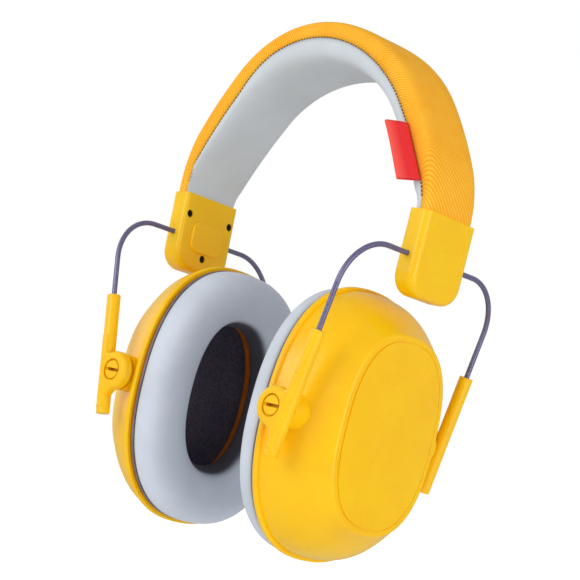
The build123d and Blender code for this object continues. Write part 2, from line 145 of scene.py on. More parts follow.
def twillCover():
    # Polyester twill: fine slanting ribs, drawn at 1.2 mm so that they show at this distance,
    # crossed by finer yarns, with a short fuzz that keeps it matt
    finish = {"thread": "#FFCC46", "shade": "#FA9606", "bloom": "#FFD060", "ribMm": 1.2,
              "yarnMm": 0.9, "slant": 0.6, "ribShare": 0.65, "yarnShare": 0.35,
              "fuzzMm": 0.5, "fuzzShare": 0.2, "wornMm": 9.0, "reliefMm": 0.05}
    material, tree = newMaterial("polyester twill")
    place = addNode(tree, "ShaderNodeTexCoord").outputs["Object"]
    flat = addNode(tree, "ShaderNodeUVMap", uv_map="cloth")
    along, across = addNode(tree, "ShaderNodeSeparateXYZ", {0: flat}).outputs[:2]
    slanted = addNode(tree, "ShaderNodeMath", {0: across, 1: finish["slant"]},
                      operation="MULTIPLY")
    diagonal = addNode(tree, "ShaderNodeMath", {0: along, 1: slanted}, operation="SUBTRACT")
    ribAngle = addNode(tree, "ShaderNodeMath", {0: diagonal, 1: waveTurn(finish["ribMm"])},
                       operation="MULTIPLY")
    ribs = addNode(tree, "ShaderNodeMath", {0: ribAngle}, operation="SINE")
    yarnAngle = addNode(tree, "ShaderNodeMath", {0: across, 1: waveTurn(finish["yarnMm"])},
                        operation="MULTIPLY")
    yarns = addNode(tree, "ShaderNodeMath", {0: yarnAngle}, operation="SINE")
    crossed = addNode(tree, "ShaderNodeMath", {0: yarns, 1: ribs}, operation="MULTIPLY")
    ribPart = addNode(tree, "ShaderNodeMath", {0: ribs, 1: finish["ribShare"]},
                      operation="MULTIPLY")
    yarnPart = addNode(tree, "ShaderNodeMath", {0: crossed, 1: finish["yarnShare"]},
                       operation="MULTIPLY")
    weave = addNode(tree, "ShaderNodeMath", {0: ribPart, 1: yarnPart}, operation="ADD")
    fuzz = addNode(tree, "ShaderNodeTexNoise",
                   {"Vector": place, "Scale": perMetre(finish["fuzzMm"]), "Detail": 3.0})
    fuzzPart = addNode(tree, "ShaderNodeMath", {0: fuzz, 1: finish["fuzzShare"]},
                       operation="MULTIPLY")
    height = addNode(tree, "ShaderNodeMath", {0: weave, 1: fuzzPart}, operation="ADD")
    toneShift = addNode(tree, "ShaderNodeTexNoise",
                   {"Vector": place, "Scale": perMetre(finish["wornMm"]), "Detail": 3.0})
    # painted shade: where the weave lies low it takes the darker shade colour, the shade of the
    # rib valleys
    lit = addNode(tree, "ShaderNodeMapRange",
                  {"Value": height, "From Min": -0.9, "From Max": 1.0,
                   "To Min": 0.05, "To Max": 0.95})
    patches = addNode(tree, "ShaderNodeMapRange",
                      {"Value": toneShift, **spread, "To Min": -0.1, "To Max": 0.1})
    factor = addNode(tree, "ShaderNodeMath", {0: lit, 1: patches}, operation="ADD")
    colour = addNode(tree, "ShaderNodeMix",
                     {0: factor, 6: srgb(finish["shade"]), 7: srgb(finish["thread"])},
                     data_type="RGBA").outputs[2]
    bump = addNode(tree, "ShaderNodeBump",
                   {"Strength": 0.5, "Distance": finish["reliefMm"] * mm, "Height": height})
    shader = addNode(tree, "ShaderNodeBsdfPrincipled", {
        "Base Color": colour, "Normal": bump, "Roughness": 0.85, "Specular IOR Level": 0.1,
        "Sheen Weight": 0.12, "Sheen Roughness": 0.4, "Sheen Tint": srgb(finish["bloom"])})
    addNode(tree, "ShaderNodeOutputMaterial", {"Surface": shader})
    return material


def leatherette(name, light, dark):
    # Soft polyurethane leatherette: a smooth pale skin with a very fine pebble grain. The
    # cushion's inner wall gets painted shade, a dark grey, and is rougher; its attribute says
    # where that begins.
    finish = {"paintedWallShade": "#45434C", "pebbleMm": 0.9, "creaseMm": 0.36, "creaseShare": 0.5,
              "cloudMm": 18.0, "reliefMm": 0.03, "wallRoughness": 0.3}
    material, tree = newMaterial(name)
    place = addNode(tree, "ShaderNodeTexCoord").outputs["Object"]
    cloud = addNode(tree, "ShaderNodeTexNoise",
                    {"Vector": place, "Scale": perMetre(finish["cloudMm"]), "Detail": 3.0})
    tone = addNode(tree, "ShaderNodeMapRange", {"Value": cloud, **spread})
    skin = addNode(tree, "ShaderNodeMix", {0: tone, 6: srgb(dark), 7: srgb(light)},
                   data_type="RGBA").outputs[2]
    wall = addNode(tree, "ShaderNodeAttribute", attribute_name="shadedWall").outputs["Fac"]
    # painted shade: the inner wall takes a dark grey that stands in for the shade inside the ear
    # opening
    colour = addNode(tree, "ShaderNodeMix", {0: wall, 6: skin, 7: srgb(finish["paintedWallShade"])},
                     data_type="RGBA").outputs[2]
    pebbles = addNode(tree, "ShaderNodeTexVoronoi",
                      {"Vector": place, "Scale": perMetre(finish["pebbleMm"]),
                       "Smoothness": 0.6}, feature="SMOOTH_F1")
    fine = addNode(tree, "ShaderNodeTexNoise",
                   {"Vector": place, "Scale": perMetre(finish["creaseMm"]), "Detail": 3.0})
    finePart = addNode(tree, "ShaderNodeMath", {0: fine, 1: finish["creaseShare"]},
                       operation="MULTIPLY")
    height = addNode(tree, "ShaderNodeMath", {0: pebbles, 1: finePart}, operation="ADD")
    skinGloss = addNode(tree, "ShaderNodeMapRange",
                        {"Value": pebbles, "From Min": 0.0, "From Max": 0.6,
                         "To Min": 0.48, "To Max": 0.6})
    wallRoughPart = addNode(tree, "ShaderNodeMath", {0: wall, 1: finish["wallRoughness"]},
                       operation="MULTIPLY")
    gloss = addNode(tree, "ShaderNodeMath", {0: skinGloss, 1: wallRoughPart}, operation="ADD")
    bump = addNode(tree, "ShaderNodeBump",
                   {"Strength": 0.4, "Distance": finish["reliefMm"] * mm, "Height": height})
    shader = addNode(tree, "ShaderNodeBsdfPrincipled", {
        "Base Color": colour, "Roughness": gloss, "Normal": bump, "IOR": 1.5,
        "Specular IOR Level": 0.3, "Sheen Weight": 0.1, "Sheen Roughness": 0.5,
        "Subsurface Weight": 0.05, "Subsurface Scale": 1.0 * mm})
    addNode(tree, "ShaderNodeOutputMaterial", {"Surface": shader})
    return material


def wovenRibbon():
    # Satin-woven polyester ribbon: close crosswise ribs and a soft gleam, with a painted highlight
    # along its fold
    finish = {"face": "#F52E36", "rib": "#E01F28", "fold": "#FF5A4E", "gleam": "#FF9A94",
              "ribMm": 0.6, "unevenMm": 2.0, "reliefMm": 0.06,
              "foldMm": 9.7, "foldEdgeMm": 1.2, "foldReachMm": 4.5, "foldShare": 0.8}
    material, tree = newMaterial("woven ribbon")
    flat = addNode(tree, "ShaderNodeUVMap", uv_map="cloth")
    across, along = addNode(tree, "ShaderNodeSeparateXYZ", {0: flat}).outputs[:2]
    waves = []
    for reach in (across, along):
        angle = addNode(tree, "ShaderNodeMath", {0: reach, 1: waveTurn(finish["ribMm"])},
                        operation="MULTIPLY")
        waves.append(addNode(tree, "ShaderNodeMath", {0: angle}, operation="SINE"))
    weave = addNode(tree, "ShaderNodeMath", {0: waves[0], 1: waves[1]}, operation="MULTIPLY")
    uneven = addNode(tree, "ShaderNodeTexNoise",
                     {"Vector": flat, "Scale": perMetre(finish["unevenMm"])})
    ribTone = addNode(tree, "ShaderNodeMapRange",
                      {"Value": weave, "From Min": -1.0, "From Max": 1.0,
                       "To Min": 0.2, "To Max": 0.8})
    patches = addNode(tree, "ShaderNodeMapRange",
                      {"Value": uneven, **spread, "To Min": -0.15, "To Max": 0.15})
    factor = addNode(tree, "ShaderNodeMath", {0: ribTone, 1: patches}, operation="ADD")
    woven = addNode(tree, "ShaderNodeMix",
                    {0: factor, 6: srgb(finish["rib"]), 7: srgb(finish["face"])},
                    data_type="RGBA").outputs[2]
    # painted highlight: paler towards the fold, where its curve catches the light
    past = addNode(tree, "ShaderNodeMath", {0: along, 1: finish["foldMm"] * mm},
                   operation="SUBTRACT")
    fromFold = addNode(tree, "ShaderNodeMath", {0: past}, operation="ABSOLUTE")
    toneShift = addNode(tree, "ShaderNodeMapRange",
                   {"Value": fromFold, "From Min": finish["foldEdgeMm"] * mm,
                    "From Max": finish["foldReachMm"] * mm,
                    "To Min": finish["foldShare"], "To Max": 0.0})
    colour = addNode(tree, "ShaderNodeMix", {0: toneShift, 6: woven, 7: srgb(finish["fold"])},
                     data_type="RGBA").outputs[2]
    bump = addNode(tree, "ShaderNodeBump",
                   {"Strength": 0.7, "Distance": finish["reliefMm"] * mm, "Height": weave})
    shader = addNode(tree, "ShaderNodeBsdfPrincipled", {
        "Base Color": colour, "Normal": bump, "Roughness": 0.55, "Specular IOR Level": 0.35,
        "Sheen Weight": 0.3, "Sheen Roughness": 0.35, "Sheen Tint": srgb(finish["gleam"])})
    addNode(tree, "ShaderNodeOutputMaterial", {"Surface": shader})
    return material


def coatedWire():
    # Spring wire with a thin tinted coating: violet grey, a tight streaky highlight, and streaks
    # that paint in its lit and shaded tones
    finish = {"coat": "#77739E", "shadedCoat": "#4C4968", "streakMm": 0.5, "reliefMm": 0.015}
    material, tree = newMaterial("tinted spring wire")
    place = addNode(tree, "ShaderNodeTexCoord").outputs["Object"]
    streaks = addNode(tree, "ShaderNodeTexNoise",
                      {"Vector": place, "Scale": perMetre(finish["streakMm"]), "Detail": 4.0,
                       "Roughness": 0.65})
    # painted highlight and shade: noise streaks mix the lit coat tone and the shaded one
    tone = addNode(tree, "ShaderNodeMapRange", {"Value": streaks, **spread})
    colour = addNode(tree, "ShaderNodeMix",
                     {0: tone, 6: srgb(finish["shadedCoat"]), 7: srgb(finish["coat"])},
                     data_type="RGBA").outputs[2]
    gloss = addNode(tree, "ShaderNodeMapRange",
                    {"Value": streaks, **spread, "To Min": 0.28, "To Max": 0.42})
    bump = addNode(tree, "ShaderNodeBump",
                   {"Strength": 0.4, "Distance": finish["reliefMm"] * mm, "Height": streaks})
    shader = addNode(tree, "ShaderNodeBsdfPrincipled", {
        "Base Color": colour, "Roughness": gloss, "Normal": bump, "Metallic": 0.35,
        "Coat Weight": 0.3, "Coat Roughness": 0.2})
    addNode(tree, "ShaderNodeOutputMaterial", {"Surface": shader})
    return material


def mattGrain(name, plain, deep, smoothest, roughest, metallic=0.0):
    # Small dark parts with a fine matt grain: a little uneven, and hardly any highlight
    finish = {"cloudMm": 5.0, "grainMm": 0.3, "reliefMm": 0.02}
    material, tree = newMaterial(name)
    place = addNode(tree, "ShaderNodeTexCoord").outputs["Object"]
    cloud = addNode(tree, "ShaderNodeTexNoise",
                    {"Vector": place, "Scale": perMetre(finish["cloudMm"]), "Detail": 4.0})
    grain = addNode(tree, "ShaderNodeTexNoise",
                    {"Vector": place, "Scale": perMetre(finish["grainMm"]), "Detail": 3.0})
    tone = addNode(tree, "ShaderNodeMapRange", {"Value": cloud, **spread})
    colour = addNode(tree, "ShaderNodeMix", {0: tone, 6: srgb(deep), 7: srgb(plain)},
                     data_type="RGBA").outputs[2]
    gloss = addNode(tree, "ShaderNodeMapRange",
                    {"Value": cloud, **spread, "To Min": smoothest, "To Max": roughest})
    bump = addNode(tree, "ShaderNodeBump",
                   {"Strength": 0.4, "Distance": finish["reliefMm"] * mm, "Height": grain})
    shader = addNode(tree, "ShaderNodeBsdfPrincipled", {
        "Base Color": colour, "Roughness": gloss, "Normal": bump, "Metallic": metallic})
    addNode(tree, "ShaderNodeOutputMaterial", {"Surface": shader})
    return material


def brushedStrip():
    # Bare spring steel, rolled and lightly brushed: a soft streaked gleam along its length
    finish = {"steel": "#B4B6BA", "groove": "#8E9094", "brushMm": 0.2, "reliefMm": 0.01,
              "stretch": (0.1, 1.0, 0.1)}
    material, tree = newMaterial("brushed spring steel")
    place = addNode(tree, "ShaderNodeTexCoord").outputs["Object"]
    stretched = addNode(tree, "ShaderNodeMapping", {"Vector": place, "Scale": finish["stretch"]})
    lines = addNode(tree, "ShaderNodeTexNoise",
                    {"Vector": stretched, "Scale": perMetre(finish["brushMm"]), "Detail": 3.0})
    colour = addNode(tree, "ShaderNodeMix",
                     {0: lines, 6: srgb(finish["groove"]), 7: srgb(finish["steel"])},
                     data_type="RGBA").outputs[2]
    gloss = addNode(tree, "ShaderNodeMapRange",
                    {"Value": lines, **spread, "To Min": 0.25, "To Max": 0.4})
    bump = addNode(tree, "ShaderNodeBump",
                   {"Strength": 0.4, "Distance": finish["reliefMm"] * mm, "Height": lines})
    shader = addNode(tree, "ShaderNodeBsdfPrincipled", {
        "Base Color": colour, "Roughness": gloss, "Normal": bump, "Metallic": 1.0})
    addNode(tree, "ShaderNodeOutputMaterial", {"Surface": shader})
    return material


def foamCloth():
    # Open-cell acoustic foam behind a thin knitted cloth: near black, with a faint bloom
    finish = {"cell": "#453F4F", "thread": "#6A6376", "bloom": "#8C86A0", "cellMm": 0.9,
              "cloudMm": 12.0, "reliefMm": 0.15}
    material, tree = newMaterial("foam under black cloth")
    place = addNode(tree, "ShaderNodeTexCoord").outputs["Object"]
    cells = addNode(tree, "ShaderNodeTexVoronoi",
                    {"Vector": place, "Scale": perMetre(finish["cellMm"])})
    cloud = addNode(tree, "ShaderNodeTexNoise",
                    {"Vector": place, "Scale": perMetre(finish["cloudMm"]), "Detail": 3.0})
    cellTone = addNode(tree, "ShaderNodeMapRange",
                       {"Value": cells, "From Min": 0.0, "From Max": 0.7,
                        "To Min": 0.0, "To Max": 0.7})
    patches = addNode(tree, "ShaderNodeMapRange",
                      {"Value": cloud, **spread, "To Min": 0.0, "To Max": 0.3})
    factor = addNode(tree, "ShaderNodeMath", {0: cellTone, 1: patches}, operation="ADD")
    colour = addNode(tree, "ShaderNodeMix",
                     {0: factor, 6: srgb(finish["thread"]), 7: srgb(finish["cell"])},
                     data_type="RGBA").outputs[2]
    bump = addNode(tree, "ShaderNodeBump",
                   {"Strength": 0.7, "Distance": finish["reliefMm"] * mm, "Height": cells})
    shader = addNode(tree, "ShaderNodeBsdfPrincipled", {
        "Base Color": colour, "Normal": bump, "Roughness": 0.85,
        "Sheen Weight": 0.3, "Sheen Roughness": 0.5, "Sheen Tint": srgb(finish["bloom"])})
    addNode(tree, "ShaderNodeOutputMaterial", {"Surface": shader})
    return material


def paleFloor():
    # A matt white studio floor. What the camera sees of it is raised to white, so that only
    # the object's shadow shows on it.
    finish = {"white": "#FAFAFA", "dust": "#F2F2F2", "cloudMm": 300.0, "raised": 0.8}
    material, tree = newMaterial("white studio floor")
    place = addNode(tree, "ShaderNodeTexCoord").outputs["Object"]
    cloud = addNode(tree, "ShaderNodeTexNoise",
                    {"Vector": place, "Scale": perMetre(finish["cloudMm"])})
    colour = addNode(tree, "ShaderNodeMix",
                     {0: cloud, 6: srgb(finish["dust"]), 7: srgb(finish["white"])},
                     data_type="RGBA").outputs[2]
    shader = addNode(tree, "ShaderNodeBsdfPrincipled",
                     {"Base Color": colour, "Roughness": 0.9, "Specular IOR Level": 0.0})
    path = addNode(tree, "ShaderNodeLightPath")
    seen = addNode(tree, "ShaderNodeMath",
                   {0: path.outputs["Is Camera Ray"], 1: finish["raised"]},
                   operation="MULTIPLY")
    glow = addNode(tree, "ShaderNodeEmission", {"Color": srgb("#FFFFFF"), "Strength": seen})
    both = addNode(tree, "ShaderNodeAddShader", {0: shader, 1: glow})
    addNode(tree, "ShaderNodeOutputMaterial", {"Surface": both})
    return material


finishes = {
    "plastic": mouldedAbs("satin moulded ABS", "#FCC106", "#FFC908"),
    # the seal plates, seen only in the gap round the foam: their orange brown is painted shade,
    # the cup's yellow darkened to how it looks in the shade there
    "paintedShadePlastic": mouldedAbs("ABS darkened as painted shade", "#AE5810", "#B86212"),
    "twill": twillCover(),
    "skin": leatherette("pale leatherette", "#D3DBE8", "#C9D1DE"),
    "liningSkin": leatherette("grey lining leatherette", "#D0D8E0", "#C8D0D6"),
    "ribbon": wovenRibbon(),
    "wire": coatedWire(),
    "strip": brushedStrip(),
    # heat-welded vinyl: a dull dark line round the cushion, its dark grey partly painted shade of
    # the gap between cup and cushion
    "welt": mattGrain("welt with painted gap shade", "#777A86", "#60626D", 0.5, 0.65),
    # blackened steel: near black, with a dim metal edge
    "screw": mattGrain("blackened steel screw", "#1C1B20", "#111014", 0.35, 0.5, 0.6),
    # bonded polyester thread, quite matt; its dark brown is painted shade, the shadows along the
    # stitches
    "thread": mattGrain("thread with painted shade", "#7A5516", "#523809", 0.7, 0.85),
    "foam": foamCloth(),
}
print("materials made", len(finishes))


def meshPiece(name, points, faces, material):
    mesh = bpy.data.meshes.new(name)
    mesh.from_pydata([tuple(p) for p in points], [], faces)
    mesh.validate()
    mesh.polygons.foreach_set("use_smooth", [True] * len(mesh.polygons))
    mesh.materials.append(material)
    piece = bpy.data.objects.new(name, mesh)
    bpy.context.scene.collection.objects.link(piece)
    return piece


def ringFaces(rings, count, closedRings=False):
    # Quads between rings of equal count; faces look outwards for rings that run on to the right
    faces = []
    last = rings if closedRings else rings - 1
    for i in range(last):
        for j in range(count):
            a, b = i * count + j, i * count + (j + 1) % count
            c, d = ((i + 1) % rings) * count + (j + 1) % count, ((i + 1) % rings) * count + j
            faces.append((a, b, c, d))
    return faces


def bake(piece):
    # Modifiers become plain mesh
    depsgraph = bpy.context.evaluated_depsgraph_get()
    depsgraph.update()
    mesh = bpy.data.meshes.new_from_object(piece.evaluated_get(depsgraph))
    mesh.name = piece.name
    piece.modifiers.clear()
    piece.data = mesh
    return piece


def newTree(name, inputs):
    # An empty Geometry Nodes tree with named inputs, and each input's identifier
    tree = bpy.data.node_groups.new(name, "GeometryNodeTree")
    sockets = {label: tree.interface.new_socket(
        label, in_out="INPUT", socket_type=f"NodeSocket{kind}").identifier
        for label, kind in inputs.items()}
    tree.interface.new_socket("Result", in_out="OUTPUT", socket_type="NodeSocketGeometry")
    return tree, sockets


def runTree(name, points, edges, tree, sockets, values):
    # The path is a mesh of edges, and what the tree makes along it becomes plain mesh
    mesh = bpy.data.meshes.new(name)
    mesh.from_pydata([tuple(p) for p in points], edges, [])
    piece = bpy.data.objects.new(name, mesh)
    bpy.context.scene.collection.objects.link(piece)
    made = piece.modifiers.new(tree.name, "NODES")
    made.node_group = tree
    for label, value in values.items():
        made[sockets[label]] = value
    return bake(piece)


# The cloth's pressure, the frames it settles in, and the solver's steps in each
filling = {"pressure": 3.0, "frames": 20, "quality": 6}


def ease(share):
    # From 0 to 1 with a soft start and a soft end
    share = min(max(share, 0.0), 1.0)
    return share * share * (3 - 2 * share)


def fillWithFoam(piece, held, swell):
    # Cloth pressure swells the cover against its held edge, and no point moves past the swell
    scene = bpy.context.scene
    before = [v.co.copy() for v in piece.data.vertices]
    group = piece.vertex_groups.new(name="held")
    group.add([i for i, fixed in enumerate(held) if fixed], 1.0, "REPLACE")
    cloth = piece.modifiers.new("filling", "CLOTH")
    settings = cloth.settings
    settings.vertex_group_mass = "held"
    settings.use_pressure = True
    settings.uniform_pressure_force = filling["pressure"]
    settings.effector_weights.gravity = 0
    settings.quality = filling["quality"]
    cloth.collision_settings.use_collision = False
    for step in range(1, filling["frames"] + 1):
        scene.frame_set(step)
    bake(piece)
    scene.frame_set(1)
    moved = 0.0
    for vertex, start in zip(piece.data.vertices, before):
        shift = vertex.co - start
        moved = max(moved, shift.length)
        if shift.length > swell * mm:
            vertex.co = start + shift * (swell * mm / shift.length)
    piece.vertex_groups.clear()
    print(piece.name, "swelled, furthest point", round(moved / mm, 2), "mm")
    return piece


def outwards(piece):
    # Closed meshes made by rule get their normals from their own volume
    mesh = piece.data
    mesh.calc_loop_triangles()
    volume = 0.0
    for triangle in mesh.loop_triangles:
        a, b, c = (mesh.vertices[i].co for i in triangle.vertices)
        volume += a.dot(b.cross(c))
    if volume < 0:
        mesh.flip_normals()
    return piece


def archArcs(riseCrown, riseCap):
    # The seam's arcs raised by one height at the crown and another at the caps, still tangent
    angles = [math.radians(arch[k]) for k in ("crownAngle", "flankAngle", "endAngle")]
    s = [math.sin(a) for a in angles]
    c = [math.cos(a) for a in angles]
    a11, a12, b1 = s[1] - s[0], s[2] - s[1], riseCap * s[2] - riseCrown * s[0]
    a21, a22, b2 = c[1] - c[0], c[2] - c[1], riseCap * c[2] - riseCrown * c[0]
    det = a11 * a22 - a12 * a21
    radii = [arch["crownRadius"] + riseCrown,
             arch["flankRadius"] + (b1 * a22 - a12 * b2) / det,
             arch["shoulderRadius"] + (a11 * b2 - b1 * a21) / det]
    centres = [(0.0, arch["seamHeight"] - arch["crownRadius"])]
    for i in (1, 2):
        step = radii[i - 1] - radii[i]
        x, z = centres[-1]
        centres.append((x + step * s[i - 1], z + step * c[i - 1]))
    return angles, centres, radii


def archPoint(angle, arcs):
    # The point of the arch where it has turned through this angle from the crown
    angles, centres, radii = arcs
    size = abs(angle)
    i = 0 if size <= angles[0] else 1 if size <= angles[1] else 2
    x = centres[i][0] + radii[i] * math.sin(size)
    z = centres[i][1] + radii[i] * math.cos(size)
    return Vector((math.copysign(x, angle), 0.0, z))


seamArcs = archArcs(0.0, 0.0)
headband = {
    # how far each edge stands off the seam's arc at the crown, and how that grows to the right
    "leanFront": (1.6, -10.0), "leanRear": (-0.8, 4.5),
    # how far the front seam slides inwards, where it starts, and over what share of the arch
    "drift": 2.6, "driftFrom": 0.3, "driftOver": 0.45,
    # how square the section's corners are, at the front edge and at the rear edge
    "coverFront": (0.34, 0.34), "coverRear": (0.50, 0.70),
    "liningFront": (0.46, 0.50), "liningRear": (0.36, 0.36),
    # how much fuller the lining is at the crown, and how soon that fades towards the caps
    "liningPlump": 3.3, "plumpPower": 4,
    # how far the seam is tucked in, up to what share of the height, and the tails in the caps
    "seamTuck": 0.5, "tuckDepth": 0.16, "tail": 0.6, "sectionSteps": 44,
}


def archAngles(step):
    # Tangent angles at an even spacing along the seam, from the left cap to the right one
    angles, centres, radii = seamArcs
    bounds = [0.0, *angles]
    lengths = [radii[i] * (bounds[i + 1] - bounds[i]) for i in range(3)]
    half = sum(lengths)
    count = 2 * round(half / step)
    places = []
    for k in range(count + 1):
        reach = abs(2 * half * k / count - half)
        i = 0
        while i < 2 and reach > lengths[i] + 1e-9:
            reach -= lengths[i]
            i += 1
        angle = min(bounds[i] + reach / radii[i], angles[-1])
        places.append((math.copysign(angle, k - count / 2), 2 * half * k / count - half))
    return places


def archLean(angle, y):
    # The padded band sits a little twisted on its spring, and is true again at the caps
    share = math.degrees(angle) / arch["endAngle"]
    fade = math.cos(math.pi / 2 * share) ** 2
    front = headband["leanFront"][0] + headband["leanFront"][1] * share
    rear = headband["leanRear"][0] + headband["leanRear"][1] * share
    weight = 0.5 + y / arch["width"]
    return fade * (front * (1 - weight) + rear * weight)


def seamDrift(angle, y, h):
    # Towards the left cap the front seam slides inwards under a fuller cover
    grow = -math.degrees(angle) / arch["endAngle"] - headband["driftFrom"]
    weight = min(max(0.5 - y / arch["width"], 0.0), 1.0)
    return -headband["drift"] * ease(grow / headband["driftOver"]) * weight * (1 - h)


def archSweep(name, profile, rises, material, plump=0.0):
    # profile(angle) gives (y, height share) pairs round a closed section
    arcs = archArcs(*rises)
    places = archAngles(arch["step"])
    tail = headband["tail"]
    points, lengths = [], []
    for angle, reach in [(places[0][0], None), *places, (places[-1][0], None)]:
        base, top = archPoint(angle, seamArcs), archPoint(angle, arcs)
        across = top - base
        fade = math.cos(math.pi / 2 * math.degrees(angle) / arch["endAngle"])
        across += across.normalized() * plump * fade ** headband["plumpPower"]
        normal = Vector((math.sin(angle), 0, math.cos(angle)))
        if reach is None:
            # A short tail stands in the end cap's mouth
            side = math.copysign(1.0, angle)
            down = Vector((math.cos(angle) * side, 0, -math.sin(angle) * side)) * tail
            base = base + down
            reach = side * (abs(places[0][1]) + tail)
        for y, h in profile(angle):
            lean = normal * (archLean(angle, y) + seamDrift(angle, y, h))
            points.append((base + across * h + lean + Vector((0, y, 0))) * mm)
            lengths.append((reach, y, h))
    count = len(profile(0.0))
    rings = len(places) + 2
    faces = ringFaces(rings, count)
    faces.append(tuple(range(count))[::-1])
    faces.append(tuple(range((rings - 1) * count, rings * count)))
    piece = outwards(meshPiece(name, points, faces, material))
    addClothMap(piece, lengths, count, abs(rises[0]))
    return piece


def addClothMap(piece, lengths, count, depth):
    # The weave follows the cloth: U along the arch and V round the section, both in metres
    girth = [0.0]
    for j in range(1, count):
        y0, h0 = lengths[j - 1][1:]
        y1, h1 = lengths[j][1:]
        girth.append(girth[-1] + math.hypot(y1 - y0, (h1 - h0) * depth))
    layer = piece.data.uv_layers.new(name="cloth")
    for loop in piece.data.loops:
        reach = lengths[loop.vertex_index][0]
        layer.data[loop.index].uv = (reach * mm, girth[loop.vertex_index % count] * mm)


def sectionProfile(front, rear):
    # Half a rounded pad: from the front seam over the top to the rear seam
    pairs = []
    half = arch["width"] / 2
    steps = headband["sectionSteps"]
    for k in range(steps + 1):
        t = math.pi * k / steps
        across, rise = front if k < steps / 2 else rear
        y = -half * math.copysign(abs(math.cos(t)) ** across, math.cos(t))
        h = math.sin(t) ** rise if 0 < k < steps else 0.0
        tuck = max(0.0, 1 - h / headband["tuckDepth"]) ** 2 * headband["seamTuck"]
        pairs.append((y - math.copysign(tuck, y), h))
    return pairs


coverPairs = sectionProfile(headband["coverFront"], headband["coverRear"])
liningPairs = sectionProfile(headband["liningFront"], headband["liningRear"])
# Where on the arch they lie, in degrees, and their size in mm; the depth is a share of the pad's
creases = {"angle": 24.0, "reach": 17.0, "y": 5.0, "halfWidth": 8.0, "pitch": 2.9,
           "slant": 0.16, "depth": 0.11}


def liningProfile(angle):
    # The skin lies in a few long shallow creases near the crown, towards the rear
    fromAngle = (math.degrees(angle) - creases["angle"]) / creases["reach"]
    pairs = []
    for y, h in liningPairs:
        across = (y - creases["y"]) / creases["halfWidth"]
        window = max(0.0, 1 - fromAngle ** 2) * max(0.0, 1 - across ** 2)
        wave = math.sin(2 * math.pi * (y + creases["slant"] * fromAngle * creases["reach"])
                        / creases["pitch"])
        pairs.append((y, h - creases["depth"] * window * wave * h))
    return pairs


cover = archSweep("headbandCoverCloth", lambda a: coverPairs, arch["coverRise"],
                  finishes["twill"])
lining = archSweep("headbandLiningPad", liningProfile,
                   tuple(-v for v in arch["liningPuff"]), finishes["liningSkin"],
                   headband["liningPlump"])
print("headband made")


def stitchTree():
    # A row of thread along a path: evenly spaced capsules laid along its direction
    tree, sockets = newTree("stitchRow", {
        "Path": "Geometry", "Pitch": "Float", "Stitch Length": "Float",
        "Thread Radius": "Float", "Finish": "Material"})
    given = addNode(tree, "NodeGroupInput").outputs
    path = addNode(tree, "GeometryNodeMeshToCurve", {"Mesh": given["Path"]})
    spaced = addNode(tree, "GeometryNodeResampleCurve",
                     {"Curve": path, "Length": given["Pitch"]}, mode="LENGTH")
    capsule = addNode(tree, "GeometryNodeMeshUVSphere",
                      {"Segments": 6, "Rings": 5, "Radius": given["Thread Radius"]})
    smooth = addNode(tree, "GeometryNodeSetShadeSmooth", {"Geometry": capsule})
    stretch = addNode(tree, "ShaderNodeMath",
                      {0: given["Stitch Length"], 1: given["Thread Radius"]},
                      operation="DIVIDE")
    half = addNode(tree, "ShaderNodeMath", {0: stretch, 1: 0.5}, operation="MULTIPLY")
    scale = addNode(tree, "ShaderNodeCombineXYZ", {0: half, 1: 1.0, 2: 1.0})
    tangent = addNode(tree, "GeometryNodeInputTangent")
    turned = addNode(tree, "FunctionNodeAlignRotationToVector", {"Vector": tangent}, axis="X")
    placed = addNode(tree, "GeometryNodeInstanceOnPoints",
                     {"Points": spaced, "Instance": smooth, "Rotation": turned,
                      "Scale": scale})
    solid = addNode(tree, "GeometryNodeRealizeInstances", {"Geometry": placed})
    finished = addNode(tree, "GeometryNodeSetMaterial",
                       {"Geometry": solid, "Material": given["Finish"]})
    addNode(tree, "NodeGroupOutput", {0: finished})
    return tree, sockets


# Sizes in mm; the rows run this many degrees down each side of the arch
stitch = {"pitch": 1.5, "length": 1.15, "radius": 0.2, "edge": 0.3, "runsTo": 84.0}


def seamStitches():
    # One row along each side of the band, just inside the seam and clear of the end caps
    points, edges = [], []
    for front in (-1.0, 1.0):
        first = len(points)
        for angle, _ in archAngles(arch["step"]):
            if abs(math.degrees(angle)) > stitch["runsTo"]:
                continue
            y = front * (arch["width"] / 2 - stitch["edge"])
            normal = Vector((math.sin(angle), 0, math.cos(angle)))
            lean = normal * (archLean(angle, y) + seamDrift(angle, y, 0.0))
            points.append((archPoint(angle, seamArcs) + lean + Vector((0, y, 0))) * mm)
        edges += [(i, i + 1) for i in range(first, len(points) - 1)]
    tree, sockets = stitchTree()
    return runTree("headbandSeamStitches", points, edges, tree, sockets, {
        "Pitch": stitch["pitch"] * mm, "Stitch Length": stitch["length"] * mm,
        "Thread Radius": stitch["radius"] * mm, "Finish": finishes["thread"]})


stitches = seamStitches()
print("seam stitches made", len(stitches.data.vertices))


cushion = {
    "backPlace": -10.7, "ringWidth": 19.7, "rimInset": 1.2, "around": 144, "section": 48,
    # the inner wall's painted shade fades out between these two heights, on the side next to the
    # ear
    "corners": ((-1.9, 0.0), (-1.5, 2.6), (-0.5, 5.6), (1.1, 8.3), (4.2, 9.9), (8.5, 10.35),
                (12.6, 10.15), (16.6, 8.6), (19.0, 5.6), (19.6, 2.6), (18.6, 0.15),
                (13.0, 0.0), (6.0, 0.0)),
    # the knit fades out between these two heights, on the side next to the ear
    "shadeUpTo": (5.6, 8.4), "shadeReach": 3.5, "heldUpTo": 1.5, "swell": 0.5,
}


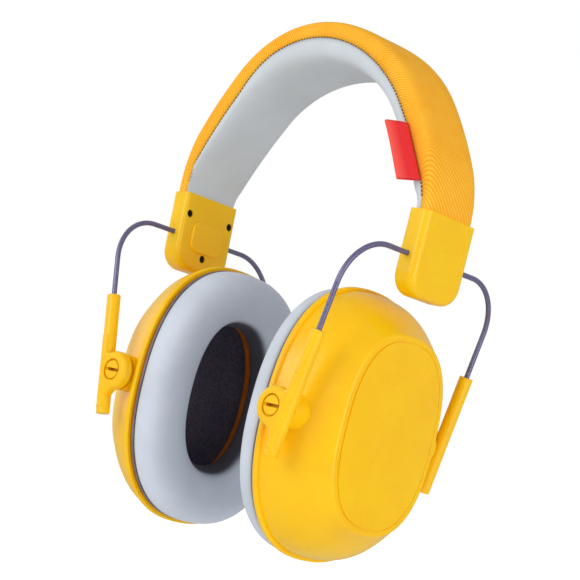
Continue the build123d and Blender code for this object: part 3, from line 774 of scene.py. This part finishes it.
def closedCurve(corners, count):
    # A smooth closed curve through the corners, cut into even steps
    fine, fineSteps = [], 16
    size = len(corners)
    for i in range(size):
        a, b, c, d = (Vector(corners[(i + k - 1) % size]) for k in range(4))
        for j in range(fineSteps):
            t = j / fineSteps
            fine.append(0.5 * (2 * b + (c - a) * t + (2 * a - 5 * b + 4 * c - d) * t ** 2
                               + (3 * b - 3 * c + d - a) * t ** 3))
    reach = [0.0]
    for i in range(len(fine)):
        reach.append(reach[-1] + (fine[(i + 1) % len(fine)] - fine[i]).length)
    points, i = [], 0
    for k in range(count):
        goal = reach[-1] * k / count
        while reach[i + 1] < goal:
            i += 1
        share = (goal - reach[i]) / (reach[i + 1] - reach[i])
        points.append(fine[i].lerp(fine[(i + 1) % len(fine)], share))
    return points


def ovalPoint(oval, t, inset=0.0):
    # A point of a squared oval, where t runs once round it
    width, height, power, drop = oval
    c, s = math.cos(t), math.sin(t)
    y = (width - inset) * math.copysign(abs(c) ** (2 / power), c)
    z = (height - inset) * math.copysign(abs(s) ** (2 / power), s) + drop
    return y, z


def cupPlace(side, x, y, z):
    # From the cup's own frame to the object's, in metres
    px, pz = cup["pivot"][side]
    tilt = math.radians(cup["tilt"][side])
    outward = x * math.cos(tilt) + z * math.sin(tilt)
    height = -x * math.sin(tilt) + z * math.cos(tilt)
    return Vector((px + sides[side] * outward, y, pz + height)) * mm


def earCushion(side):
    # The pad is swept round the ear opening, and its back lies held against the seal plate
    section = closedCurve(cushion["corners"], cushion["section"])
    low, high = cushion["shadeUpTo"]
    points, paintedWallShade, held = [], [], []
    for i in range(cushion["around"]):
        t = 2 * math.pi * i / cushion["around"]
        inner = ovalPoint(cup["ear"], t)
        outer = ovalPoint(cup["rim"], t, cushion["rimInset"])
        for across, rise in section:
            share = across / cushion["ringWidth"]
            y = inner[0] + (outer[0] - inner[0]) * share
            z = inner[1] + (outer[1] - inner[1]) * share
            points.append(cupPlace(side, cushion["backPlace"] - rise, y, z))
            # painted shade mask: how much of the inner wall's painted dark grey each point takes
            fade = ease(1 - (rise - low) / (high - low))
            paintedWallShade.append(fade if across < cushion["shadeReach"] else 0.0)
            held.append(rise < cushion["heldUpTo"])
    faces = ringFaces(cushion["around"], len(section), closedRings=True)
    piece = outwards(meshPiece(f"{side}CushionSkin", points, faces, finishes["skin"]))
    layer = piece.data.attributes.new("shadedWall", "FLOAT", "POINT")
    layer.data.foreach_set("value", paintedWallShade)
    return fillWithFoam(piece, held, cushion["swell"])


cushions = {side: earCushion(side) for side in sides}


def beadTree():
    # A round bead that follows a closed path
    tree, sockets = newTree("weltBead", {
        "Path": "Geometry", "Bead Radius": "Float", "Finish": "Material"})
    given = addNode(tree, "NodeGroupInput").outputs
    path = addNode(tree, "GeometryNodeMeshToCurve", {"Mesh": given["Path"]})
    section = addNode(tree, "GeometryNodeCurvePrimitiveCircle",
                      {"Resolution": 8, "Radius": given["Bead Radius"]})
    bead = addNode(tree, "GeometryNodeCurveToMesh", {"Curve": path, "Profile Curve": section})
    smooth = addNode(tree, "GeometryNodeSetShadeSmooth", {"Geometry": bead})
    solid = addNode(tree, "GeometryNodeRealizeInstances", {"Geometry": smooth})
    finished = addNode(tree, "GeometryNodeSetMaterial",
                       {"Geometry": solid, "Material": given["Finish"]})
    addNode(tree, "NodeGroupOutput", {0: finished})
    return tree, sockets


welt = {"around": 160, "inset": 1.75, "place": -10.35, "radius": 0.45}
weltTree, weltSockets = beadTree()


def cushionWelt(side):
    # The welded edge that clips over the cup's seal plate, its dark grey partly painted shade of
    # the gap
    around = welt["around"]
    points = []
    for i in range(around):
        y, z = ovalPoint(cup["rim"], 2 * math.pi * i / around, welt["inset"])
        points.append(cupPlace(side, welt["place"], y, z))
    edges = [(i, (i + 1) % around) for i in range(around)]
    piece = runTree(f"{side}CushionWelt", points, edges, weltTree, weltSockets,
                    {"Bead Radius": welt["radius"] * mm, "Finish": finishes["welt"]})
    return outwards(piece)


welts = {side: cushionWelt(side) for side in sides}
print("cushions made")


foam = {
    "mouth": -4.1, "clearance": 2.6, "wall": 6.0, "base": 7.0, "deepest": 0.90,
    "around": 96, "rings": 12, "backSteps": (0.8, 0.5, 0.2),
    # the bowl: its rings, how sharply it turns up to the lip, and how far up it reaches
    "bowlRings": 12, "bowlPower": 5, "bowlReach": 0.86,
    # the lip: its rings, how much it is rounded, and how far it is set back
    "lipSteps": (0.25, 0.6, 0.9), "lipRound": 0.7, "lipBack": 0.2,
}


def cupSection(share, inset):
    # Half width, half height, power and centre of the cup's inside, share 0 at the rim
    side = (1 - share ** cup["sideBend"][0]) ** (1 / cup["sideBend"][1])
    end = (1 - share ** cup["endBend"][0]) ** (1 / cup["endBend"][1])
    rim, top = cup["rim"], cup["shoulder"]
    width = top[0] + (rim[0] - cup["rimStep"] - top[0]) * side - inset
    height = top[1] + (rim[1] - cup["rimStep"] - top[1]) * end - inset
    return width, height, rim[2] + (top[2] - rim[2]) * share, rim[3] * (1 - share)


def foamDish(side):
    # A closed dish: up the outside from the mouth, over the back, and down a soft bowl
    length = cup["shoulderPlace"] - cup["rimPlace"] - foam["clearance"]
    first = (foam["mouth"] - cup["rimPlace"]) / length
    rows = []
    for k in range(foam["rings"] + 1):
        share = first + (foam["deepest"] - first) * k / foam["rings"]
        rows.append((cupSection(share, foam["clearance"]), cup["rimPlace"] + length * share))
    back = rows[-1]
    for k in foam["backSteps"]:
        rows.append(((back[0][0] * k, back[0][1] * k, *back[0][2:]), back[1]))
    bowl = cupSection((first + foam["deepest"]) / 2, foam["clearance"] + foam["wall"])
    floorPlace = back[1] - foam["base"]
    for k in range(1, foam["bowlRings"] + 1):
        t = k / foam["bowlRings"]
        rise = t ** foam["bowlPower"] * foam["bowlReach"]
        rows.append(((bowl[0] * t, bowl[1] * t, *bowl[2:]),
                     floorPlace + (foam["mouth"] - floorPlace) * rise))
    mouth = rows[0][0]
    for k in foam["lipSteps"]:
        edge = [a + (b - a) * k for a, b in zip(bowl, mouth)]
        rows.append((edge, foam["mouth"] + foam["lipRound"] * (2 * k - 1) ** 2
                     - foam["lipBack"]))
    points = []
    for oval, place in rows:
        for i in range(foam["around"]):
            y, z = ovalPoint(oval, 2 * math.pi * i / foam["around"])
            points.append(cupPlace(side, place, y, z))
    faces = ringFaces(len(rows), foam["around"], closedRings=True)
    return outwards(meshPiece(f"{side}CupFoam", points, faces, finishes["foam"]))


foams = {side: foamDish(side) for side in sides}
print("foam made")


tag = {
    "angle": 60.5, "swing": 22.0, "width": 24.0, "length": 9.4, "thickness": 0.34,
    "foldRadius": 0.62, "steps": 24, "runSteps": 8,
    # sewn this deep, with the layers this far apart there, and fully open after this length
    "sewn": 0.1, "sewnGap": 0.25, "opensOver": 3.0,
    # how far the free edge waves, how much of a wave there is, and where it starts
    "bow": 0.35, "bowWave": 1.3, "bowStart": 0.4,
}


def foldedTag():
    # One strip of ribbon folded double at its outer edge, its two ends sewn into the seam
    angle = math.radians(tag["angle"])
    seam = archPoint(angle, seamArcs)
    turn = Matrix.Rotation(angle, 3, "Y") @ Matrix.Rotation(math.radians(tag["swing"]), 3, "X")
    start = Vector((seam.x, -arch["width"] / 2 + tag["sewn"], seam.z))
    start += Vector((math.sin(angle), 0, math.cos(angle))) * archLean(angle, start.y)
    run, steps = tag["length"] - tag["foldRadius"], tag["runSteps"]
    middle = [(-run * k / steps, 1.0) for k in range(steps + 1)]
    for k in range(1, steps):
        bend = math.pi * k / steps
        middle.append((-run - tag["foldRadius"] * math.sin(bend), math.cos(bend)))
    middle += [(-run + run * k / steps, -1.0) for k in range(steps + 1)]
    half, gap = tag["thickness"] / 2, tag["sewnGap"]
    points, flat = [], []
    reach = [0.0]
    place = [Vector((y, side * (gap + (tag["foldRadius"] - gap)
                                * min(1.0, -y / tag["opensOver"]))))
             for y, side in middle]
    for a, b in zip(place, place[1:]):
        reach.append(reach[-1] + (b - a).length)
    normals = []
    for k in range(len(place)):
        step = place[min(k + 1, len(place) - 1)] - place[max(k - 1, 0)]
        normals.append(Vector((-step.y, step.x)).normalized())
    for i in range(tag["steps"] + 1):
        u = i / tag["steps"]
        bow = tag["bow"] * math.sin(math.pi * u * tag["bowWave"] + tag["bowStart"])
        ring = [(p + n * half, r) for p, n, r in zip(place, normals, reach)]
        ring += [(p - n * half, r) for p, n, r in reversed(list(zip(place, normals, reach)))]
        for p, r in ring:
            lift = bow * (-p.x / tag["length"]) ** 2
            local = Vector((tag["width"] * (u - 0.5), p.x, p.y + lift))
            points.append((start + turn @ local) * mm)
            flat.append((tag["width"] * u * mm, r * mm))
    count = 2 * len(place)
    faces = ringFaces(tag["steps"] + 1, count)
    for i, flip in ((0, True), (tag["steps"], False)):
        for k in range(len(place) - 1):
            quad = [i * count + v for v in (k, k + 1, count - 2 - k, count - 1 - k)]
            faces.append(tuple(reversed(quad)) if flip else tuple(quad))
    piece = outwards(meshPiece("sideTagRibbon", points, faces, finishes["ribbon"]))
    layer = piece.data.uv_layers.new(name="cloth")
    for loop in piece.data.loops:
        layer.data[loop.index].uv = flat[loop.vertex_index]
    print("tag cloth length", round(reach[-1], 1), "mm")
    return piece


ribbonTag = foldedTag()
print("tag made")


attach(cover, "headband")
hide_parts("headband_cover", "headband_outer_foam")
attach(lining, "headband")
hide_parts("headband_lining", "headband_inner_foam")
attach(stitches, "headband")
for side, piece in cushions.items():
    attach(piece, f"{side}_cup")
    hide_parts(f"{side}_ear_cushion")
for side, piece in welts.items():
    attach(piece, f"{side}_cup")
for side, piece in foams.items():
    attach(piece, f"{side}_cup")
    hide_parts(f"{side}_acoustic_foam")
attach(ribbonTag, "headband")
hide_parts("side_tag")

# What the CAD pieces that stay are made of, by a part of their names; the last that fits wins
nodeFinish = {
    "headband_spring": "strip", "end_cap": "plastic", "wire_arm": "wire",
    # the seal plates take the ABS darkened as painted shade
    "slider": "plastic", "cup_shell": "plastic", "seal_plate": "paintedShadePlastic",
    "screws": "screw",
}
for name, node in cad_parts.items():
    for key, finish in nodeFinish.items():
        if key in name:
            for slotPlace in node.material_slots:
                slotPlace.material = finishes[finish]


studio = {
    # the floor lies this far under the object, and reaches this far each way, in metres
    "floorDrop": 0.45, "floorReach": 30.0,
    "ambient": "#F8F9FB", "ambientPower": 0.5, "background": "#FFFFFF",
    "glossyShare": 0.25,  # gloss sees a little of the white background, not all of it
    "lampTint": "#FFFDF8",
}
low, reach = cadBox[0][2] - studio["floorDrop"], studio["floorReach"]
floorMesh = bpy.data.meshes.new("studioFloor")
floorMesh.from_pydata([(-reach, -reach, low), (reach, -reach, low), (reach, reach, low),
                       (-reach, reach, low)], [], [(0, 1, 2, 3)])
floorMesh.materials.append(paleFloor())
floor = bpy.data.objects.new("studioFloor", floorMesh)
bpy.context.scene.collection.objects.link(floor)

world = bpy.data.worlds.new("softStudio")
bpy.context.scene.world = world
world.use_nodes = True
sky = world.node_tree
sky.nodes.clear()
lit = addNode(sky, "ShaderNodeBackground",
              {"Color": srgb(studio["ambient"]), "Strength": studio["ambientPower"]})
seen = addNode(sky, "ShaderNodeBackground",
               {"Color": srgb(studio["background"]), "Strength": 1.0})
path = addNode(sky, "ShaderNodeLightPath").outputs
glossy = addNode(sky, "ShaderNodeMath", {0: path["Is Glossy Ray"], 1: studio["glossyShare"]},
                 operation="MULTIPLY")
others = addNode(sky, "ShaderNodeMath", {0: glossy, 1: path["Is Transmission Ray"]},
                 operation="MAXIMUM")
rays = addNode(sky, "ShaderNodeMath", {0: path["Is Camera Ray"], 1: others},
               operation="MAXIMUM")
mixed = addNode(sky, "ShaderNodeMixShader", {0: rays, 1: lit, 2: seen})
addNode(sky, "ShaderNodeOutputWorld", {"Surface": mixed})

centre = Vector([(a + b) / 2 for a, b in zip(*cadBox)])
# Places in metres from the object's middle, sizes in metres and powers in watts
lamps = {
    "frontSoftbox": {"place": (0.0, -1.4, 0.35), "size": 0.6, "power": 6.2},
    "frontLeftSoftbox": {"place": (-0.6, -1.2, 0.5), "size": 0.9, "power": 3.2},
    "leftPanel": {"place": (-1.4, -0.3, 0.3), "size": 0.9, "power": 2.4},
    "rightPanel": {"place": (1.4, -0.15, 0.0), "size": 0.9, "power": 8.4},
}
for name, lamp in lamps.items():
    data = bpy.data.lights.new(name, "AREA")
    data.size, data.energy = lamp["size"], lamp["power"]
    data.color = srgb(studio["lampTint"])[:3]
    light = bpy.data.objects.new(name, data)
    light.location = centre + Vector(lamp["place"])
    light.rotation_euler = (centre - light.location).to_track_quat("-Z", "Y").to_euler()
    bpy.context.scene.collection.objects.link(light)

# Angles in degrees, the rest in mm
view = {"azimuth": 44.169, "elevation": -6.124, "roll": 12.7175, "distance": 685.5,
        "target": (-4.78, 0.0, -90.32), "lens": 110.6, "sensor": 36.0}
az, el, roll = (math.radians(view[k]) for k in ("azimuth", "elevation", "roll"))
back = Vector((math.sin(az) * math.cos(el), -math.cos(az) * math.cos(el), math.sin(el)))
level = Vector((math.cos(az), math.sin(az), 0))
upright = back.cross(level)
right = math.cos(roll) * level + math.sin(roll) * upright
up = -math.sin(roll) * level + math.cos(roll) * upright
cameraData = bpy.data.cameras.new("productCamera")
cameraData.lens, cameraData.sensor_width = view["lens"], view["sensor"]
cameraData.clip_start, cameraData.clip_end = 0.01, 100.0
camera = bpy.data.objects.new("productCamera", cameraData)
turned = Matrix((right, up, back)).transposed().to_4x4()
camera.matrix_world = Matrix.Translation(
    (Vector(view["target"]) + back * view["distance"]) * mm) @ turned
bpy.context.scene.collection.objects.link(camera)
bpy.context.scene.camera = camera
bpy.context.scene.view_settings.view_transform = "Standard"
print("studio made")
